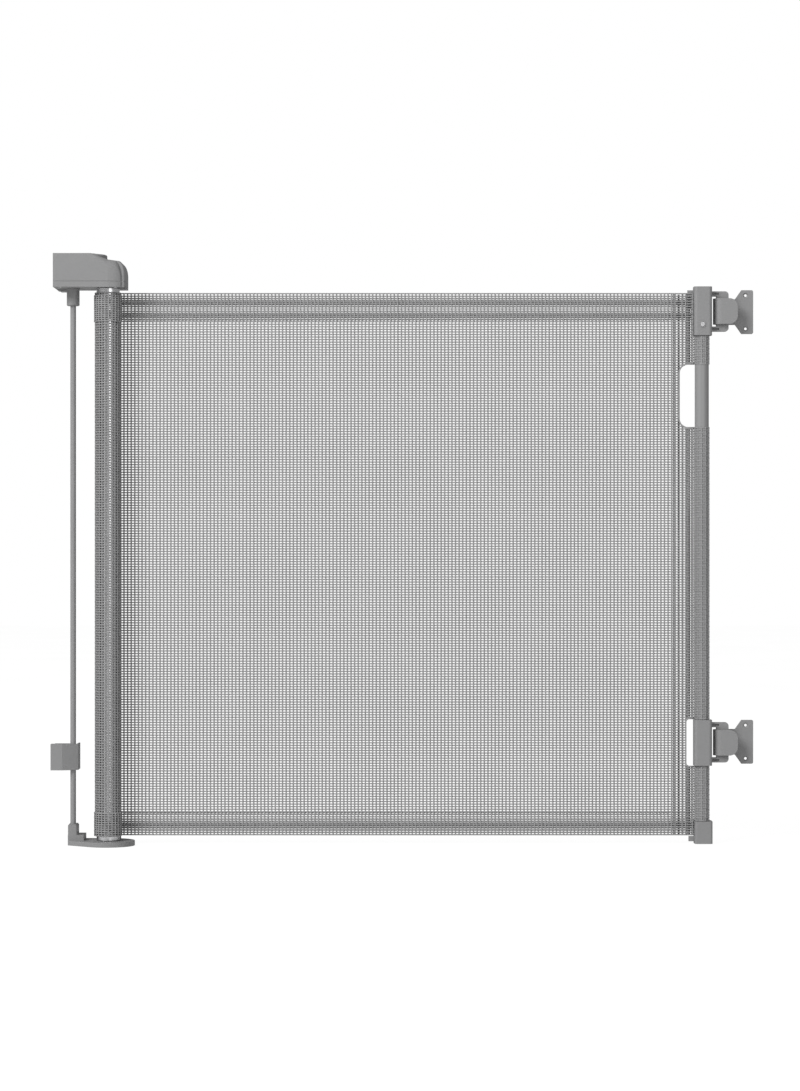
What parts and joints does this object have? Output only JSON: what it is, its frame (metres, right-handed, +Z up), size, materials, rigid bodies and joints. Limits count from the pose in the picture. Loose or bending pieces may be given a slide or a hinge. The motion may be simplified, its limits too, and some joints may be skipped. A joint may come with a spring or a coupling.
{
  "type": "retractable safety gate",
  "caption": "Retractable mesh baby gate: wall-mounted roller with lock dial, mesh panel with hand hole, and a latch post with loops on wall hooks.",
  "frame": {"origin": "on the wall plane, under the roller axis, level with the underside of the bottom bracket", "axes": "+X along the closed gate from the roller to the latch post, +Y into the wall, +Z up"},
  "size_m": [0.9964, 0.0757, 0.8355],
  "materials": {
    "grey_plastic": "satin moulded",
    "button_plastic": "satin moulded",
    "nylon": "matte moulded",
    "steel": "zinc plated",
    "aluminium_tube": "satin anodised",
    "coated_rod": "satin powder coat",
    "coated_tube": "satin powder coat",
    "mesh": "vinyl-coated woven mesh"
  },
  "bodies": {
    "wall_side": {"bottom_bracket": "grey_plastic", "pivot_pin": "steel", "thrust_washer": "nylon", "support_rod": "coated_rod", "rod_ferrule": "grey_plastic", "rod_clip_base": "grey_plastic", "rod_clip_cover": "grey_plastic", "rod_clip_screw": "steel", "housing_base": "grey_plastic", "housing_cover": "grey_plastic", "housing_screws": "steel", "top_bush": "nylon", "pawl_pin": "steel", "pawl_spring": "steel", "upper_hook": "grey_plastic", "lower_hook": "grey_plastic"},
    "roller": {"roller_tube": "aluminium_tube", "bottom_plug": "nylon", "top_plug": "nylon", "ratchet_wheel": "steel", "stub_clip": "steel", "return_spring": "steel", "mesh_roll": "mesh"},
    "latch_bar": {"post_tube": "coated_tube", "post_plug": "nylon", "upper_clip": "grey_plastic", "upper_latch": "grey_plastic", "lower_clip": "grey_plastic", "lower_latch": "grey_plastic", "clip_screws": "steel", "post_cap": "grey_plastic", "mesh_strip": "mesh", "mesh_pocket": "mesh", "mesh_panel": "mesh"},
    "lock": {"lock_dial": "grey_plastic", "lock_cam": "nylon", "button_spring": "steel"},
    "button": {"release_button": "button_plastic"},
    "pawl": {"pawl": "steel"}
  },
  "joints": [
    {"name": "bar_reach", "type": "slide", "parent": "wall_side", "child": "latch_bar", "axis": [1, 0, 0], "range_m": [-0.76, 0], "deforming": ["mesh_panel"]},
    {"name": "roller_turn", "type": "hinge", "parent": "wall_side", "child": "roller", "pos_m": [0, -0.038, 0], "axis": [0, 0, 1], "range_deg": [-1, 2161]},
    {"name": "dial_turn", "type": "hinge", "parent": "wall_side", "child": "lock", "pos_m": [-0.0244, -0.0405, 0.83], "axis": [0, 0, 1], "range_deg": [0, 90]},
    {"name": "pawl_swing", "type": "hinge", "parent": "wall_side", "child": "pawl", "pos_m": [-0.01089, -0.02002, 0.7973], "axis": [0, 0, 1], "range_deg": [-0.2, 7.4]},
    {"name": "button_press", "type": "slide", "parent": "lock", "child": "button", "axis": [0, 0, 1], "range_m": [-0.0024, 0], "stiffness_N_per_m": 800, "springref_m": 0.001, "deforming": ["button_spring"]}
  ],
  "couplings": [
    {"joint": "roller_turn", "follows": "bar_reach", "rad_per_m": -49.604},
    {"joint": "pawl_swing", "follows": "dial_turn", "ratio": 0.08}
  ]
}
